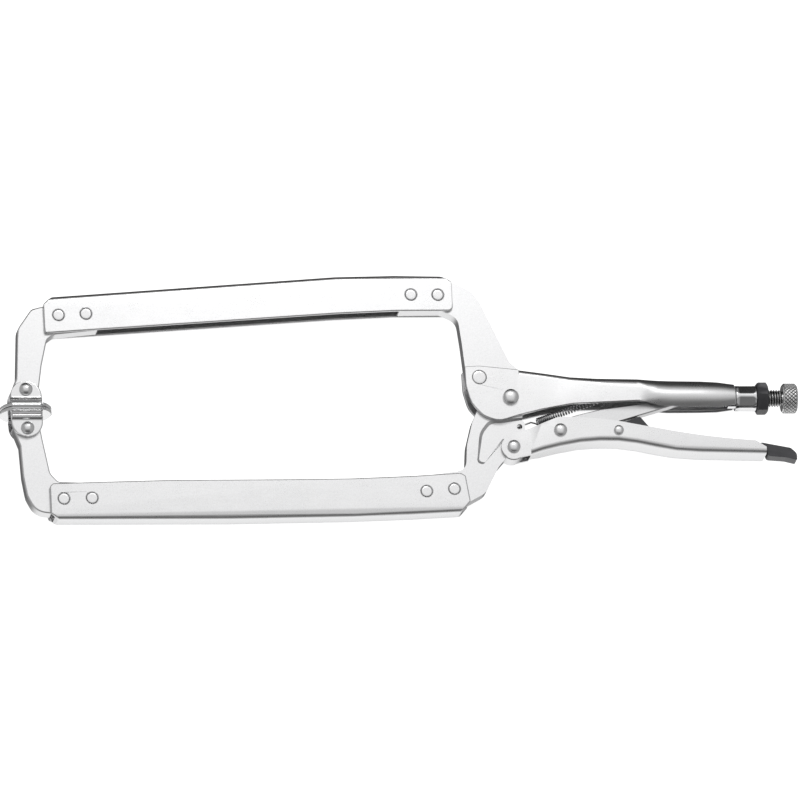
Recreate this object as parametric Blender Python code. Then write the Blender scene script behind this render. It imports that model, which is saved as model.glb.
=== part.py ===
"""Long-reach locking C-clamp, lying on its side with the pads closed.

+X runs along the tool towards the adjusting screw, +Y is the side of the fixed arm and +Z is up.
The outlines are drawn in millimetres about the jaw pivot, with the middle of the sheet metal at
Z = 0. The last step moves the whole tool so that the centre of the underside is the origin.
"""

import math

import bpy
from mathutils import Vector

MM = 0.001
LIP_STEPS = 3  # points along a folded sheet's flank
BEND_STEPS = 4  # and round its fold

# Sheet metal and fits
PLATE = 9.0  # thickness of the four jaw plates
SHEET = 2.0  # thickness of the two arms and the lever
NOSE_SHEET = 2.3  # thickness of the handle body
PAD_SHEET = 2.0
SIDE_GAP = 0.3  # between a plate and the wall beside it
FACE_GAP = 0.3  # between faces that rest on each other
HOLE_GAP = 0.2  # between a rivet and its hole, on the radius
THREAD_GAP = 0.2  # between the screw and what it turns in, on the radius
BEND = 3.0  # outside radius of the folds

INNER_HALF = PLATE / 2 + SIDE_GAP
ARM_HALF = INNER_HALF + SHEET
NOSE_HALF = INNER_HALF + NOSE_SHEET
PAD_HALF = INNER_HALF + PAD_SHEET
PLATE_TO_WEB = 1.0  # keeps a plate's edge out of the fold

# Pivots, from the jaw pivot
LEVER_PIVOT = (0.4, -29.4)
LINK_PIVOT = (27.4, -20.2)
RELEASE_PIVOT = (61.0, -20.3)
SCREW_Y = 1.4
NOSE_RIVET = (-17.4, 12.0)
JAW_BOSS_R = 11.0  # round the jaw pivot, on the moving plate
LEVER_BOSS_R = 7.4  # round the lever pivot, on the moving plate
JAW_RIVET_R = 3.2
NOSE_RIVET_R = 3.8
LEVER_RIVET_R = 2.6
RELEASE_RIVET_R = 2.0
JAW_HEAD = (4.5, 3.0)  # radius and height of each rivet's round heads
LEVER_HEAD = (3.7, 2.2)
RELEASE_HEAD = (2.8, 1.6)
PAD_HEAD = (3.8, 2.8)

# Overall sizes, from the jaw pivot
PAD_X = -278.6  # how far the clamp reaches
UPPER_ARM_Y = 60.0
LOWER_ARM_Y = -58.0

# Arms: the far end carries the pad, and each line holds (x, distance from the arm's Y)
UPPER_ARM_FAR_X = PAD_X + 12.4
LOWER_ARM_FAR_X = PAD_X + 11.2
UPPER_ARM_END_X = -30.6
LOWER_ARM_END_X = -26.0
UPPER_WEB = ((PAD_X + 11.6, 0.1), (-205, 4.6), (-147, 9.1), (-97, 12.7), (-61, 13.5), (-30, 13.0))
UPPER_EDGE = ((PAD_X + 10.6, -21.8), (-218, -18.0), (-118, -11.2), (-74, -8.3), (-30, -8.1))
LOWER_WEB = ((PAD_X + 8.6, -14.4), (-153, -14.2), (-103, -13.2), (-67, -12.0), (-25, -9.6))
LOWER_EDGE = ((PAD_X + 9.6, 6.8), (-202, 8.8), (-102, 9.4), (-62, 11.0), (-25, 13.4))
ARM_STATIONS = 8
ARM_RIVET_R = 3.0
UPPER_RIVETS = ((PAD_X + 20.8, -10.8), (PAD_X + 36.6, -10.0), (-54.4, 1.5), (-38.9, 1.4))
LOWER_RIVETS = ((PAD_X + 19.0, -2.3), (PAD_X + 35.2, -1.9), (-51.0, 2.0), (-35.0, 3.4))

# Swivel pads
UPPER_PAD_Y = 4.8
LOWER_PAD_Y = -18.2
CONTACT_Y = (UPPER_PAD_Y + LOWER_PAD_Y) / 2
PAD_R = 15.0
EAR_R = 9.0
EAR_CREST = 7.4  # centre of the ears' round tops, from the pad's face
JAW_TIP_R = 7.8
PAD_RIVET_R = 2.4

# Plates in the jaws
PLATE_TAILS = (PAD_X + 43.6, PAD_X + 44.8, -61.4, -59.6)  # upper tip, lower tip, upper knuckle, lower knuckle
RECESS_DEPTH = 1.3
RECESS_DRAFT = 1.9
SPRING_HOLE_R = 1.4

# Screw thread
THREAD_R = 4.9
SPIGOT_WALL = 0.7
SPIGOT_GAP = 0.4  # between the spigot and the rolled tube, on the radius

# Handle body
HANDLE_WEB_X = 5.3  # the fold starts here, behind the fixed jaw plate
FLAT_SIDES_END_X = 74.0
TUBE_R = THREAD_R + 5.0
TUBE_LIP_Y = SCREW_Y - TUBE_R + 3.2
TUBE_END_X = 130.0
TUBE_END_SHEET = 1.7
TUBE_END_R = THREAD_R + THREAD_GAP + SPIGOT_WALL + SPIGOT_GAP + TUBE_END_SHEET

# Screw
SCREW_TIP_X = 106.0
SLEEVE_R = THREAD_R + 2.3
SLEEVE_LENGTH = 12.3
SPIGOT_LENGTH = 4.0
NUT_FLATS = 2 * THREAD_R + 6.6
NUT_LENGTH = 6.3
NUT_X = 142.7
KNOB_R = 8.6
KNOB_LENGTH = 8.4
KNOB_X = 157.6
KNOB_BORE_R = 4.0
KNOB_BORE_DEPTH = 5.2
KNOB_CHAMFER = 1.0

# Lever
LEVER_HALF = 9.0
LEVER_EAR_R = 7.0
LEVER_END_X = 145.9
LEVER_WEB_X = 10.3  # the channel's web starts here, behind the ears
JOGGLE_X = (10.8, 17.0)
LEVER_EAR_TOP = -12.0  # above the ears' outline, which is cut below it
LEVER_TRIM_X = 26.0  # the lever's edge follows its own line behind this
LEVER_EDGE = (
    (25, -12.7),
    (31, -11.9),
    (51, -13.3),
    (61, -14.7),
    (81, -18.5),
    (101, -22.3),
    (123, -25.0),
    (140, -26.4),
    (LEVER_END_X, -30.2),
)
LEVER_WEB = (
    (11, -33.6),
    (27, -29.6),
    (39, -27.3),
    (50, -26.4),
    (61, -26.5),
    (72, -27.9),
    (83, -30.2),
    (94, -32.1),
    (108, -33.1),
    (LEVER_END_X, -33.9),
)

# Link, release lever and spring
LINK_THICK = 7.0
LINK_TIP_R = 2.3
LINK_WAIST = 3.4  # half the link's height beside its eye
LINK_EYE_R = 5.6
LINK_BACK = ((32.0, -11.6), (38.0, -9.6), (46.0, -7.6), (52.3, -6.0), (64.2, -4.4), (76.0, -2.8))
LINK_BACK_ANGLE = 96  # the raised back leaves the eye here, in degrees
LINK_END_X = 103.3
RELEASE_HALF = 4.2
SPRING_HOOK = (4.9, -16.4)
SPRING_ANCHOR = (61.0, 4.0)
TAB_THICK = 1.6  # the lanced tab that holds the spring's rear end
TAB_WIDTH = 5.0
COIL_R = 2.2
WIRE_R = 0.45
COIL_FRONT = 11.5  # from the hook to the first turn
COIL_BACK = 9.0  # from the last turn to the anchor

STEEL = ("nickel_plated_steel", (0.62, 0.62, 0.63), 0.32, 1.0)
BRIGHT = ("bright_steel", (0.72, 0.72, 0.73), 0.15, 1.0)
BLACK = ("black_oxide", (0.03, 0.03, 0.032), 0.45, 0.6)




def at_height(line, height):
    return tuple((x, height + rise) for x, rise in line)


upper_web = at_height(UPPER_WEB, UPPER_ARM_Y)
upper_edge = at_height(UPPER_EDGE, UPPER_ARM_Y)
lower_web = at_height(LOWER_WEB, LOWER_ARM_Y)
lower_edge = at_height(LOWER_EDGE, LOWER_ARM_Y)
upper_rivets = at_height(UPPER_RIVETS, UPPER_ARM_Y)
lower_rivets = at_height(LOWER_RIVETS, LOWER_ARM_Y)


# ---------------------------------------------------------------- building blocks


def finish_material(finish):
    name, colour, roughness, metallic = finish
    material = bpy.data.materials.get(name)
    if material is None:
        material = bpy.data.materials.new(name)
        material.use_nodes = True
        shader = material.node_tree.nodes["Principled BSDF"]
        shader.inputs["Base Color"].default_value = (*colour, 1.0)
        shader.inputs["Roughness"].default_value = roughness
        shader.inputs["Metallic"].default_value = metallic
    return material


def add_solid(name, shape, finish, pivot=(0.0, 0.0)):
    """An object from (points, faces) in millimetres, with its origin on its joint's axis."""
    points, faces = shape
    at = Vector((pivot[0], pivot[1], 0.0))
    mesh = bpy.data.meshes.new(name)
    mesh.from_pydata([(Vector(point) - at) * MM for point in points], [], faces)
    mesh.validate()
    solid = bpy.data.objects.new(name, mesh)
    solid.location = at * MM
    solid.parent = TOOL
    bpy.context.scene.collection.objects.link(solid)
    if finish is not None:
        mesh.materials.append(finish_material(finish))
        mesh.shade_smooth()
        mesh.set_sharp_from_angle(angle=math.radians(35))
    return solid


def boolean(solid, shape, operation, label):
    """Cuts, keeps or adds a helper shape."""
    helper = add_solid(f"{solid.name}_{label}", shape, None)
    helper.hide_render = True
    helper.display_type = "WIRE"
    modifier = solid.modifiers.new(label, "BOOLEAN")
    modifier.operation = operation
    modifier.solver = "EXACT"
    modifier.object = helper


def arc(centre, radius, start, end, steps):
    """Points on an arc, with its angles in degrees."""
    points = []
    for step in range(steps + 1):
        angle = math.radians(start + (end - start) * step / steps)
        points.append((centre[0] + radius * math.cos(angle), centre[1] + radius * math.sin(angle)))
    return points


def rounded(corners):
    """An outline from (x, y, fillet radius) corners, running anticlockwise."""
    outline = []
    count = len(corners)
    for index, (x, y, radius) in enumerate(corners):
        corner = Vector((x, y))
        if radius == 0:
            outline.append((x, y))
            continue
        before = Vector(corners[index - 1][:2]) - corner
        after = Vector(corners[(index + 1) % count][:2]) - corner
        half_angle = before.angle(after) / 2
        reach = min(radius / math.tan(half_angle), 0.49 * before.length, 0.49 * after.length)
        fillet = reach * math.tan(half_angle)
        to_centre = (before.normalized() + after.normalized()).normalized()
        centre = corner + to_centre * (fillet / math.sin(half_angle))
        first = corner + before.normalized() * reach - centre
        last = corner + after.normalized() * reach - centre
        start = math.atan2(first.y, first.x)
        sweep = (math.atan2(last.y, last.x) - start + math.pi) % (2 * math.pi) - math.pi
        steps = max(2, round(abs(sweep) / math.radians(12)))
        for step in range(steps + 1):
            angle = start + sweep * step / steps
            outline.append((centre.x + fillet * math.cos(angle), centre.y + fillet * math.sin(angle)))
    return outline


def loft(rings):
    """One closed shape through rings of equally many points, capped at both ends."""
    count = len(rings[0])
    points = [point for ring in rings for point in ring]
    faces = [tuple(reversed(range(count)))]
    for row in range(len(rings) - 1):
        for index in range(count):
            after = (index + 1) % count
            low = row * count
            faces.append((low + index, low + after, low + count + after, low + count + index))
    faces.append(tuple(range(len(points) - count, len(points))))
    return points, faces


def prism(outline, low, high):
    """An anticlockwise XY outline extruded from one height to another."""
    return loft([[(x, y, z) for x, y in outline] for z in (low, high)])


def plate(outline, thickness):
    return prism(outline, -thickness / 2, thickness / 2)


def post(centre, radius, half_length, segments=24):
    """A round cutter along Z."""
    return prism(arc(centre, radius, 0, 360 - 360 / segments, segments - 1), -half_length, half_length)


def turned_z(centre, profile, segments=24):
    """A solid of revolution about a Z axis, from (radius, z) pairs running upwards."""
    rings = []
    for radius, height in profile:
        ring = arc(centre, radius, 0, 360 - 360 / segments, segments - 1)
        rings.append([(x, y, height) for x, y in ring])
    return loft(rings)


def turned_x(profile, segments=32):
    """A solid of revolution about the screw axis, from (x, radius) pairs running along +X."""
    rings = []
    for x, radius in profile:
        ring = arc((SCREW_Y, 0.0), radius, 0, 360 - 360 / segments, segments - 1)
        rings.append([(x, y, z) for y, z in ring])
    return loft(rings)


def read_line(line, x):
    """The height at x of a line given by a few (x, y) points."""
    if x <= line[0][0]:
        return line[0][1]
    for (x0, y0), (x1, y1) in zip(line, line[1:]):
        if x <= x1:
            return y0 + (y1 - y0) * (x - x0) / (x1 - x0)
    return line[-1][1]


def folded_section(web_y, edge_y, half_width, bend, curl, sheet):
    """The (y, z) loop of a sheet folded into a U. A curl of 1 rolls its edges in to a C."""
    up = 1 if web_y > edge_y else -1
    centre_y = web_y - up * bend
    half = []
    for step in range(LIP_STEPS + 1):
        y = edge_y + (centre_y - edge_y) * step / LIP_STEPS
        drop = min(abs(centre_y - y), 0.98 * bend)
        rolled_z = half_width - bend + math.sqrt(bend**2 - drop**2)
        half.append(Vector((y, half_width + curl * (rolled_z - half_width))))
    for step in range(1, BEND_STEPS + 1):
        angle = math.pi / 2 * step / BEND_STEPS
        z = half_width - bend + bend * math.cos(angle)
        half.append(Vector((centre_y + up * bend * math.sin(angle), z)))
    outer = half + [Vector((point.x, -point.y)) for point in reversed(half)]
    inner = []
    for index, point in enumerate(outer):
        before = outer[max(index - 1, 0)]
        after = outer[min(index + 1, len(outer) - 1)]
        along = (after - before).normalized()
        inner.append(point + sheet * up * Vector((along.y, -along.x)))
    loop = outer + inner[::-1]
    return loop if up > 0 else loop[::-1]


def channel(stations):
    """A folded sheet through stations (x, web_y, edge_y, half_width, bend, curl, sheet)."""
    rings = []
    for x, *section in stations:
        rings.append([(x, point.x, point.y) for point in folded_section(*section)])
    return loft(rings)


def dome(radius, height, base, steps=3):
    """(radius, z) pairs of a low round head standing on a base, listed from the base."""
    pairs = []
    for step in range(steps + 1):
        angle = math.pi / 2 * (0.08 + 0.92 * step / steps)
        pairs.append((max(radius * math.cos(angle), 0.15), base + height * math.sin(angle)))
    return [(radius, base), *pairs]


def headed_rivet(name, centre, shank, head, wall_half):
    """A rivet with a round head on both sides of the walls that it holds."""
    seat = wall_half + FACE_GAP
    above = dome(*head, seat)
    below = [(radius, -z) for radius, z in reversed(above)]
    add_solid(name, turned_z(centre, below + [(shank, -seat), (shank, seat)] + above), STEEL, centre)


def flush_rivet(name, centre, radius, wall_half):
    """A rivet peened level with the outside of the walls."""
    chamfer = 0.25
    ends = [
        (radius - chamfer, -wall_half),
        (radius, chamfer - wall_half),
        (radius, wall_half - chamfer),
        (radius - chamfer, wall_half),
    ]
    add_solid(name, turned_z(centre, ends), STEEL, centre)


def drill(solid, centre, radius, label, half_length=40.0):
    boolean(solid, post(centre, radius + HOLE_GAP, half_length), "DIFFERENCE", label)


# ---------------------------------------------------------------- arms and their plates


def arm(name, web, edge, ends, trim, rivets):
    """A long channel, trimmed at its ends and drilled for its rivets."""
    stations = []
    for step in range(ARM_STATIONS):
        x = ends[0] + (ends[1] - ends[0]) * step / (ARM_STATIONS - 1)
        stations.append((x, read_line(web, x), read_line(edge, x), ARM_HALF, BEND, 0.0, SHEET))
    solid = add_solid(name, channel(stations), STEEL)
    boolean(solid, prism(trim, -2 * ARM_HALF, 2 * ARM_HALF), "INTERSECT", "ends")
    for number, centre in enumerate(rivets, 1):
        drill(solid, centre, ARM_RIVET_R, f"rivet_hole_{number}")
        flush_rivet(f"{name}_rivet_{number}", centre, ARM_RIVET_R, ARM_HALF)


def upper_arm():
    far, near = UPPER_ARM_FAR_X, UPPER_ARM_END_X
    low, top = read_line(upper_edge, far), read_line(upper_web, far)
    end_low, end_top = read_line(upper_edge, near), read_line(upper_web, near)
    trim = rounded(
        [
            (far, low + 0.2, 2.0),
            (far + 40, low - 10, 0),
            (near - 40, end_low - 10, 0),
            (near - 2.5, end_low - 0.5, 0),
            (near, end_low + 1.5, 1.5),
            (near, end_top - 3.6, 0),
            (near - 6.6, end_top + 0.4, 0),
            (near - 20, top + 40, 0),
            (far + 20, top + 40, 0),
            (far + 5.4, top + 0.6, 0),
            (far, top - 4.2, 0),
        ]
    )
    arm("upper_arm", upper_web, upper_edge, (far - 1, near + 1), trim, upper_rivets)


def lower_arm():
    far, near = LOWER_ARM_FAR_X, LOWER_ARM_END_X
    low, top = read_line(lower_web, far), read_line(lower_edge, far)
    end_low, end_top = read_line(lower_web, near), read_line(lower_edge, near)
    trim = rounded(
        [
            (far, low + 3.4, 0),
            (far + 6.0, low - 1.0, 0),
            (far + 30, low - 30, 0),
            (near - 30, low - 30, 0),
            (near - 5.6, end_low - 0.6, 0),
            (near, end_low + 5.8, 0),
            (near - 2.1, end_top - 1.8, 0),
            (near - 6.4, end_top + 0.4, 0),
            (near - 30, end_top + 30, 0),
            (far + 30, top + 30, 0),
            (far + 2.4, top + 0.5, 0),
            (far, top - 1.8, 0),
        ]
    )
    arm("lower_arm", lower_web, lower_edge, (far - 1, near + 1), trim, lower_rivets)


def upper_jaw_tip():
    """The hooked plate that carries the fixed pad."""
    tail_x = PLATE_TAILS[0]
    roof = SHEET + PLATE_TO_WEB
    outline = rounded(
        [
            (PAD_X - 4.6, UPPER_PAD_Y + 8, 0),
            *((x, y, 0) for x, y in arc((PAD_X, UPPER_PAD_Y), JAW_TIP_R, 180, 340, 12)),
            (PAD_X + 10.2, 20.0, 10),
            (PAD_X + 13.8, UPPER_ARM_Y - 25.0, 4),
            (PAD_X + 18.2, UPPER_ARM_Y - 21.8, 3),
            (tail_x, read_line(upper_edge, tail_x) + 0.2, 1),
            (tail_x, read_line(upper_web, tail_x) - roof, 1),
            (UPPER_ARM_FAR_X, read_line(upper_web, UPPER_ARM_FAR_X) - roof - 2.0, 3),
            (PAD_X + 5.6, UPPER_ARM_Y - 6.6, 4),
            (PAD_X - 2.8, UPPER_ARM_Y - 18.4, 8),
        ]
    )
    solid = add_solid("upper_jaw_tip", plate(outline, PLATE), STEEL)
    for number, centre in enumerate(upper_rivets[:2], 1):
        drill(solid, centre, ARM_RIVET_R, f"rivet_hole_{number}")
    drill(solid, (PAD_X, UPPER_PAD_Y), PAD_RIVET_R, "pad_hole")


def lower_jaw_tip():
    """The hooked plate that carries the moving pad."""
    tail_x = PLATE_TAILS[1]
    floor = SHEET + PLATE_TO_WEB
    outline = rounded(
        [
            (PAD_X - 4.4, -28.0, 0),
            (PAD_X - 3.6, LOWER_ARM_Y + 12.0, 20),
            (PAD_X - 1.8, LOWER_ARM_Y, 12),
            (PAD_X + 3.0, LOWER_ARM_Y - 9.4, 11),
            (LOWER_ARM_FAR_X + 5, read_line(lower_web, LOWER_ARM_FAR_X) + floor + 0.3, 3),
            (tail_x, read_line(lower_web, tail_x) + floor, 1),
            (tail_x, read_line(lower_edge, tail_x) - 0.2, 1),
            (PAD_X + 16.6, LOWER_ARM_Y + 8.4, 4),
            (PAD_X + 12.2, LOWER_ARM_Y + 13.4, 6),
            (PAD_X + 8.8, -25.0, 10),
            *((x, y, 0) for x, y in arc((PAD_X, LOWER_PAD_Y), JAW_TIP_R, 20, 180, 12)),
        ]
    )
    solid = add_solid("lower_jaw_tip", plate(outline, PLATE), STEEL)
    for number, centre in enumerate(lower_rivets[:2], 1):
        drill(solid, centre, ARM_RIVET_R, f"rivet_hole_{number}")
    drill(solid, (PAD_X, LOWER_PAD_Y), PAD_RIVET_R, "pad_hole")


def upper_knuckle():
    """The plate that joins the fixed arm to the handle, round the moving plate's boss."""
    tail_x = PLATE_TAILS[2]
    roof = SHEET + PLATE_TO_WEB
    reach = JAW_BOSS_R + 0.6
    plate_end = HANDLE_WEB_X - 0.6
    outline = rounded(
        [
            (tail_x, read_line(upper_edge, tail_x) + 0.4, 1),
            (-37.0, UPPER_ARM_Y - 7.6, 4),
            (-27.8, UPPER_ARM_Y - 12.0, 7),
            (-26.2, 33.0, 10),
            (-24.2, 8.0, 1.5),
            *((x, y, 0) for x, y in arc((0, 0), reach, 152, 76, 8)),
            (plate_end, 13.4, 0),
            (plate_end, 17.9, 0),
            (0.6, 21.8, 4),
            (-14.4, UPPER_ARM_Y - 3.6, 8),
            (-18.6, UPPER_ARM_Y + 3.2, 8),
            (-28.0, UPPER_ARM_Y + 8.6, 6),
            (-35.0, read_line(upper_web, -35.0) - roof, 2),
            (tail_x, read_line(upper_web, tail_x) - roof, 1),
        ]
    )
    solid = add_solid("upper_knuckle", plate(outline, PLATE), STEEL)
    for number, centre in enumerate(upper_rivets[2:], 1):
        drill(solid, centre, ARM_RIVET_R, f"rivet_hole_{number}")
    drill(solid, NOSE_RIVET, NOSE_RIVET_R, "nose_rivet_hole")


def recess(solid, side):
    """The coined hollow in one face of the moving plate, with sloping walls."""
    mouth = rounded(
        [
            (-5.6, -12.4, 2),
            (-12.6, -12.6, 9),
            (-18.6, -20.2, 12),
            (-20.9, -38.4, 2.6),
            (-17.2, -39.4, 1.6),
            (-4.9, -25.6, 2),
            (9.6, -22.0, 0.5),
            (11.0, -11.0, 0.5),
        ]
    )
    middle = Vector((-6.0, -22.0))
    floor = []
    for x, y in mouth:
        inwards = middle - Vector((x, y))
        floor.append(Vector((x, y)) + inwards * (RECESS_DRAFT / inwards.length))
    face = PLATE / 2
    rings = [
        [(point.x, point.y, side * (face - RECESS_DEPTH)) for point in floor],
        [(x, y, side * (face + 0.01)) for x, y in mouth],
        [(x, y, side * (face + 3)) for x, y in mouth],
    ]
    if side < 0:
        rings.reverse()
    boolean(solid, loft(rings), "DIFFERENCE", f"recess_{'front' if side > 0 else 'back'}")


def lower_knuckle():
    """The moving plate: jaw pivot boss, lever boss, spring lug and the tail in the lower arm."""
    tail_x = PLATE_TAILS[3]
    floor = SHEET + PLATE_TO_WEB
    lug_x, lug_low = 8.0, -20.2
    outline = rounded(
        [
            (tail_x, read_line(lower_web, tail_x) + floor, 1),
            (-31.0, read_line(lower_web, -31.0) + floor + 0.6, 2),
            (-16.8, LOWER_ARM_Y + 1.6, 8),
            (-8.4, -40.6, 6),
            *((x, y, 0) for x, y in arc(LEVER_PIVOT, LEVER_BOSS_R, 235, 375, 12)),
            (lug_x, lug_low, 0.8),
            (lug_x, lug_low + 6.0, 0.8),
            (6.0, -12.0, 3),
            *((x, y, 0) for x, y in arc((0, 0), JAW_BOSS_R, -28, 172, 16)),
            (-17.2, -3.0, 5),
            (-22.4, -14.0, 16),
            (-26.2, -28.0, 16),
            (-27.4, LOWER_ARM_Y + 15.2, 6),
            (tail_x, read_line(lower_edge, tail_x) - 0.4, 1),
        ]
    )
    solid = add_solid("lower_knuckle", plate(outline, PLATE), STEEL)
    for side in (1, -1):
        recess(solid, side)
    for number, centre in enumerate(lower_rivets[2:], 1):
        drill(solid, centre, ARM_RIVET_R, f"rivet_hole_{number}")
    drill(solid, (0, 0), JAW_RIVET_R, "jaw_pivot_hole")
    drill(solid, LEVER_PIVOT, LEVER_RIVET_R, "lever_pivot_hole")
    drill(solid, SPRING_HOOK, SPRING_HOLE_R, "spring_hole")


def pad(name, centre_y):
    """A swivel pad: a round face with two ears folded up beside the jaw tip."""
    towards = 1 if centre_y > CONTACT_Y else -1
    face_y = CONTACT_Y + towards * FACE_GAP / 2
    back_y = face_y + towards * PAD_SHEET
    pivot = (PAD_X, centre_y)
    lobe = math.degrees(math.acos(EAR_R / PAD_R))
    disc = [
        *arc((PAD_X, 0.0), PAD_R, -lobe, lobe, 12),
        (PAD_X + EAR_R, PAD_HALF),
        (PAD_X - EAR_R, PAD_HALF),
        *arc((PAD_X, 0.0), PAD_R, 180 - lobe, 180 + lobe, 12),
        (PAD_X - EAR_R, -PAD_HALF),
        (PAD_X + EAR_R, -PAD_HALF),
    ]
    low, high = sorted((face_y, back_y))
    rings = [[(x, y, z) for x, z in reversed(disc)] for y in (low, high)]
    solid = add_solid(name, loft(rings), STEEL, pivot)
    crest_centre = (PAD_X, face_y + towards * EAR_CREST)
    foot = face_y + towards * PAD_SHEET / 2
    start = 0 if towards > 0 else 180
    ear = [
        (PAD_X - towards * EAR_R, foot),
        (PAD_X + towards * EAR_R, foot),
        *arc(crest_centre, EAR_R, start, start + 180, 14),
    ]
    boolean(solid, prism(ear, INNER_HALF, PAD_HALF), "UNION", "front_ear")
    boolean(solid, prism(ear, -PAD_HALF, -INNER_HALF), "UNION", "back_ear")
    drill(solid, pivot, PAD_RIVET_R, "pivot_hole")


# ---------------------------------------------------------------- handle body and screw


def handle_body():
    """The folded body: two walls round the jaw pivot, a U along the middle, a rolled tube behind."""
    deep = -18.0
    side_bend = BEND
    lip = TUBE_LIP_Y
    stations = [
        (-32.0, 30.0, deep, NOSE_HALF, side_bend, 0.0, NOSE_SHEET),
        (HANDLE_WEB_X - 0.3, 30.0, deep, NOSE_HALF, side_bend, 0.0, NOSE_SHEET),
        (HANDLE_WEB_X, 16.9, deep, NOSE_HALF, side_bend, 0.0, NOSE_SHEET),
        (20.0, 14.9, deep, NOSE_HALF + 0.3, side_bend + 0.3, 0.0, NOSE_SHEET),
        (35.0, 12.6, deep, NOSE_HALF + 0.9, side_bend + 0.8, 0.0, NOSE_SHEET),
        (50.0, 11.8, deep, NOSE_HALF + 1.5, side_bend + 1.6, 0.0, NOSE_SHEET),
        (FLAT_SIDES_END_X - 2, 11.5, deep, NOSE_HALF + 2.2, 5.6, 0.0, NOSE_SHEET),
        (FLAT_SIDES_END_X, 11.5, -2.8, NOSE_HALF + 2.3, 5.9, 0.0, NOSE_SHEET),
        (79.0, 11.4, -3.4, TUBE_R - 0.3, 7.2, 0.3, NOSE_SHEET),
        (85.0, SCREW_Y + TUBE_R, -4.8, TUBE_R, 8.7, 0.75, NOSE_SHEET),
        (92.0, SCREW_Y + TUBE_R, lip, TUBE_R, TUBE_R - 0.3, 1.0, NOSE_SHEET),
        (110.0, SCREW_Y + TUBE_R - 0.2, lip, TUBE_R - 0.2, TUBE_R - 0.5, 1.0, NOSE_SHEET),
        (120.0, SCREW_Y + TUBE_R - 0.7, lip, TUBE_R - 0.7, TUBE_R - 1.0, 1.0, SHEET),
        (TUBE_END_X, SCREW_Y + TUBE_END_R, lip + 1.4, TUBE_END_R, TUBE_END_R - 0.3, 1.0, TUBE_END_SHEET),
    ]
    solid = add_solid("handle_body", channel(stations), STEEL)
    trim = rounded(
        [
            (-25.6, 18.4, 0.8),
            (-25.4, 7.0, 12),
            (-22.8, -3.4, 12),
            (-16.2, -10.8, 9),
            (-7.6, -14.2, 12),
            (4.0, -10.6, 20),
            (18.0, -7.1, 0),
            (35.0, -4.0, 10),
            (62.0, -2.9, 0),
            (FLAT_SIDES_END_X, -2.5, 0),
            (FLAT_SIDES_END_X + 0.01, -30.0, 0),
            (TUBE_END_X + 10, -30.0, 0),
            (TUBE_END_X + 10, 34.0, 0),
            (HANDLE_WEB_X + 0.1, 34.0, 0),
            (HANDLE_WEB_X + 0.1, 16.6, 0),
            (-17.0, 18.9, 20),
        ]
    )
    boolean(solid, prism(trim, -2 * TUBE_R, 2 * TUBE_R), "INTERSECT", "outline")
    drill(solid, (0, 0), JAW_RIVET_R, "jaw_pivot_hole")
    drill(solid, NOSE_RIVET, NOSE_RIVET_R, "nose_rivet_hole")
    anchor_x, anchor_y = SPRING_ANCHOR
    tab = [
        (anchor_x - TAB_THICK / 2, anchor_y - TAB_THICK),
        (anchor_x + TAB_THICK / 2, anchor_y - TAB_THICK),
        (anchor_x + TAB_THICK / 2, 10.6),
        (anchor_x - TAB_THICK / 2, 10.6),
    ]
    boolean(solid, plate(tab, TAB_WIDTH), "UNION", "spring_tab")


def thread_sleeve():
    """The threaded bush crimped into the end of the rolled tube."""
    spigot_r = TUBE_END_R - TUBE_END_SHEET - SPIGOT_GAP
    collar_x = TUBE_END_X + FACE_GAP
    end_x = collar_x + SLEEVE_LENGTH
    profile = [
        (TUBE_END_X - SPIGOT_LENGTH, spigot_r),
        (collar_x, spigot_r),
        (collar_x, SLEEVE_R),
        (end_x - 0.6, SLEEVE_R),
        (end_x, SLEEVE_R - 0.6),
    ]
    solid = add_solid("thread_sleeve", turned_x(profile), BRIGHT)
    bore_r = THREAD_R + THREAD_GAP
    bore = turned_x([(TUBE_END_X - SPIGOT_LENGTH - 5, bore_r), (end_x + 5, bore_r)])
    boolean(solid, bore, "DIFFERENCE", "bore")


def lock_nut():
    """A hexagon nut with both ends chamfered."""
    corner_r = NUT_FLATS / 2 / math.cos(math.pi / 6)
    hexagon = arc((SCREW_Y, 0.0), corner_r, 30, 330, 5)
    rings = [[(x, y, z) for y, z in hexagon] for x in (NUT_X, NUT_X + NUT_LENGTH)]
    solid = add_solid("lock_nut", loft(rings), BLACK, (NUT_X + NUT_LENGTH / 2, SCREW_Y))
    flat_r = NUT_FLATS / 2 - 0.2
    rise = (corner_r - flat_r) * math.tan(math.radians(32))
    turned_down = [
        (NUT_X - 0.01, flat_r),
        (NUT_X + rise, corner_r + 0.01),
        (NUT_X + NUT_LENGTH - rise, corner_r + 0.01),
        (NUT_X + NUT_LENGTH + 0.01, flat_r),
    ]
    boolean(solid, turned_x(turned_down), "INTERSECT", "chamfers")
    bore_r = THREAD_R + THREAD_GAP
    bore = turned_x([(NUT_X - 5, bore_r), (NUT_X + NUT_LENGTH + 5, bore_r)])
    boolean(solid, bore, "DIFFERENCE", "bore")


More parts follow.
